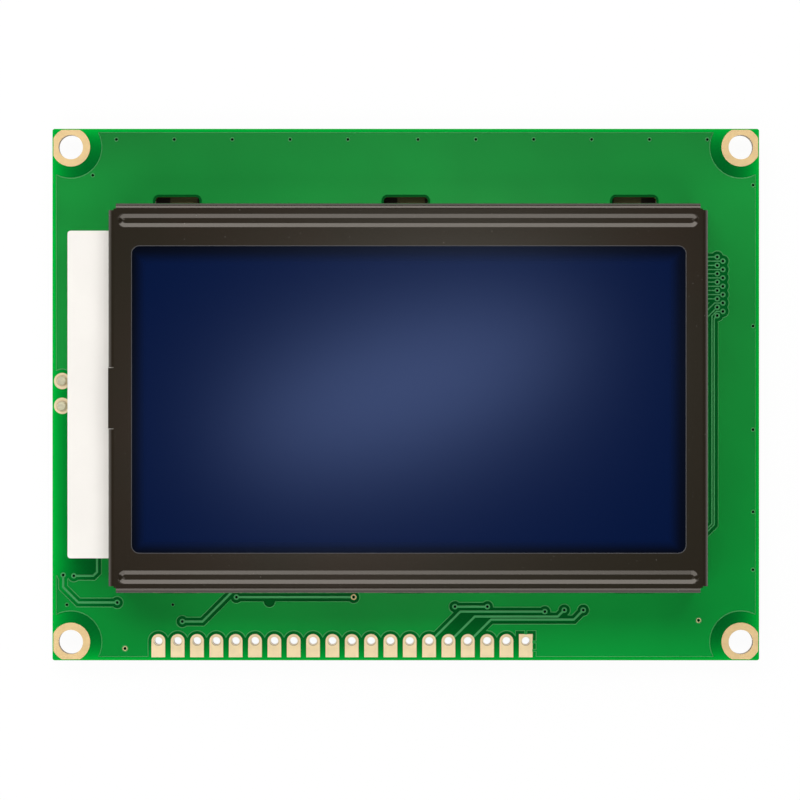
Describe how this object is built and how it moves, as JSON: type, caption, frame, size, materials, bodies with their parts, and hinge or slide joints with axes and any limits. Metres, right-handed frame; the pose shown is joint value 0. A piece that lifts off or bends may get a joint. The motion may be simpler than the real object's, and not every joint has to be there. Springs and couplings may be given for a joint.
{
  "type": "graphic lcd module",
  "caption": "Flat display module: green circuit board with corner mounting holes and a header row, a blue glass display in a folded black bezel, and an edge-lit white backlight.",
  "frame": {"origin": "middle of the four mounting holes, on the rear face of the circuit board", "axes": "+X right and +Y up as the display is read, +Z out of the display; the module lies on its back, face up"},
  "size_m": [0.0928, 0.0698, 0.0116],
  "materials": {
    "masked_laminate": "green solder mask over bare laminate",
    "masked_copper": "green solder mask over copper, satin",
    "masked_trace": "thin green solder mask over a copper trace",
    "gold_plating": "matt immersion gold",
    "tented_via": "via barrel under solder mask",
    "solder": "dull solder",
    "tinned_metal": "tinned, satin",
    "bezel_paint": "black-brown paint, semi-gloss",
    "blue_polariser": "anti-glare film, dark blue",
    "display_glass": "clear float glass",
    "elastomer": "layered silicone",
    "white_plastic": "matt white moulded plastic",
    "clear_acrylic": "clear acrylic",
    "white_film": "white film",
    "bare_laminate": "white-masked laminate",
    "lamp_resin": "phosphor resin",
    "black_resin": "black epoxy, satin",
    "resistor_glaze": "black glaze",
    "capacitor_ceramic": "tan ceramic"
  },
  "bodies": {
    "root": {"circuit_board": "masked_laminate", "front_ground_pour": "masked_copper", "front_signal_traces": "masked_trace", "rear_ground_pour": "masked_copper", "rear_signal_traces": "masked_trace", "mounting_hole_plating": "gold_plating", "header_pads": "gold_plating", "plated_vias": "tented_via", "exposed_via_rings": "gold_plating", "upper_contact_fingers": "gold_plating", "lower_contact_fingers": "gold_plating", "backlight_terminal_pads": "gold_plating", "backlight_solder_joints": "solder", "anode_lead": "tinned_metal", "cathode_lead": "tinned_metal", "bezel": "bezel_paint", "front_polariser": "blue_polariser", "front_glass": "display_glass", "rear_glass": "display_glass", "rear_polariser": "blue_polariser", "upper_zebra_strip": "elastomer", "lower_zebra_strip": "elastomer", "backlight_housing": "white_plastic", "light_guide": "clear_acrylic", "diffuser_sheet": "white_film", "reflector_sheet": "white_film", "led_board": "bare_laminate", "backlight_leds": "lamp_resin", "controller_glob_top": "black_resin", "left_driver_glob_top": "black_resin", "right_driver_glob_top": "black_resin", "chip_resistors": "resistor_glaze", "chip_capacitors": "capacitor_ceramic", "chip_terminals": "tinned_metal", "chip_pads": "tinned_metal"}
  },
  "joints": []
}
